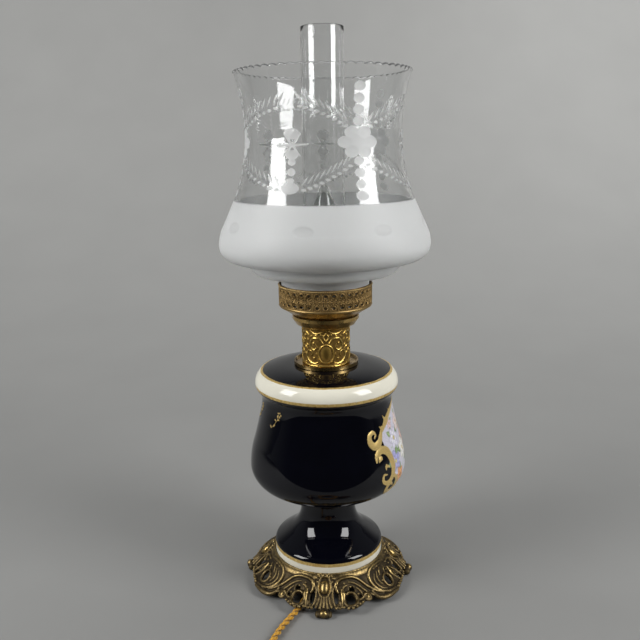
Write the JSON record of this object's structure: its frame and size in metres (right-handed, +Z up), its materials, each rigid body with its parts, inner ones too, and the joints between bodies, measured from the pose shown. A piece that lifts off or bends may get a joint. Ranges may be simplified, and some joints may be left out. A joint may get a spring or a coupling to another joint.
{
  "type": "table lamp",
  "caption": "Oil lamp made electric: openwork brass base, black porcelain font, engraved glass shade round a glass chimney and candle bulb, silk flex with a hand switch and plug.",
  "frame": {"origin": "on the table, under the lamp's axis", "axes": "+Z up the lamp's axis; -Y is the side with the font's painted panel; the feet are on +X, -X, +Y and -Y; the flex leaves towards -X"},
  "size_m": [0.365, 0.2116, 0.574],
  "materials": {
    "antique_brass": "worn gilt over brown patina",
    "polished_brass": "polished",
    "steel": "zinc plated",
    "nickel": "nickel plated",
    "black_porcelain": "glossy glaze with white and gold bands",
    "steatite": "matt",
    "shade_glass": "frosted below, clear above, engraved",
    "clear_glass": "clear",
    "black_glass": "glossy",
    "filament": "fine wire",
    "felt": "felt",
    "black_rubber": "matt",
    "white_plastic": "matt",
    "wire_sheath": "smooth",
    "gold_silk": "twisted silk braid",
    "brown_leather": "thin strap",
    "brown_bakelite": "moulded, semi-gloss",
    "ivory_plastic": "semi-gloss"
  },
  "bodies": {
    "lamp": {"base_casting": "antique_brass", "seat_felt": "felt", "base_plate": "steel", "lock_washer": "steel", "bottom_nut": "steel", "threaded_rod": "steel", "bottom_cover": "steel", "cover_screws": "steel", "cord_bush": "black_rubber", "terminal_block": "white_plastic", "internal_wires": "wire_sheath", "porcelain_foot": "black_porcelain", "joint_felt": "felt", "porcelain_body": "black_porcelain", "mouth_felt": "felt", "collar_flange": "polished_brass", "embossed_drum": "antique_brass", "drip_dish": "polished_brass", "gallery_cup": "polished_brass", "gallery_band": "antique_brass", "top_nut": "steel", "spacer_tube": "polished_brass", "chimney_holder": "polished_brass", "socket_cap": "polished_brass", "socket_sleeve": "polished_brass", "socket_core": "steatite", "screw_shell": "nickel", "centre_contact": "polished_brass", "terminal_screws": "polished_brass", "flex_lead": "gold_silk", "flex_link": "gold_silk", "flex_tail": "gold_silk", "flex_coil": "gold_silk", "coil_tie": "brown_leather", "switch_base": "brown_bakelite", "switch_cover": "brown_bakelite", "rocker_pin": "steel", "switch_screws": "steel", "plug_body": "brown_bakelite", "plug_pins": "nickel"},
    "shade": {"shade": "shade_glass"},
    "chimney": {"chimney": "clear_glass"},
    "bulb": {"bulb_cap": "nickel", "bulb_insulator": "black_glass", "bulb_contact": "nickel", "bulb_glass": "clear_glass", "bulb_filament": "filament"},
    "rocker": {"switch_rocker": "ivory_plastic"}
  },
  "joints": [
    {"name": "shade_lift", "type": "slide", "parent": "lamp", "child": "shade", "axis": [0, 0, 1], "range_m": [0, 0.275]},
    {"name": "chimney_lift", "type": "slide", "parent": "lamp", "child": "chimney", "axis": [0, 0, 1], "range_m": [0, 0.235]},
    {"name": "bulb_lift", "type": "slide", "parent": "lamp", "child": "bulb", "axis": [0, 0, 1], "range_m": [0, 0.25]},
    {"name": "rocker_press", "type": "hinge", "parent": "lamp", "child": "rocker", "pos_m": [-0.1787, 0.0615, 0.012], "axis": [-0.3256, -0.9455, 0], "range_deg": [0, 14]}
  ]
}
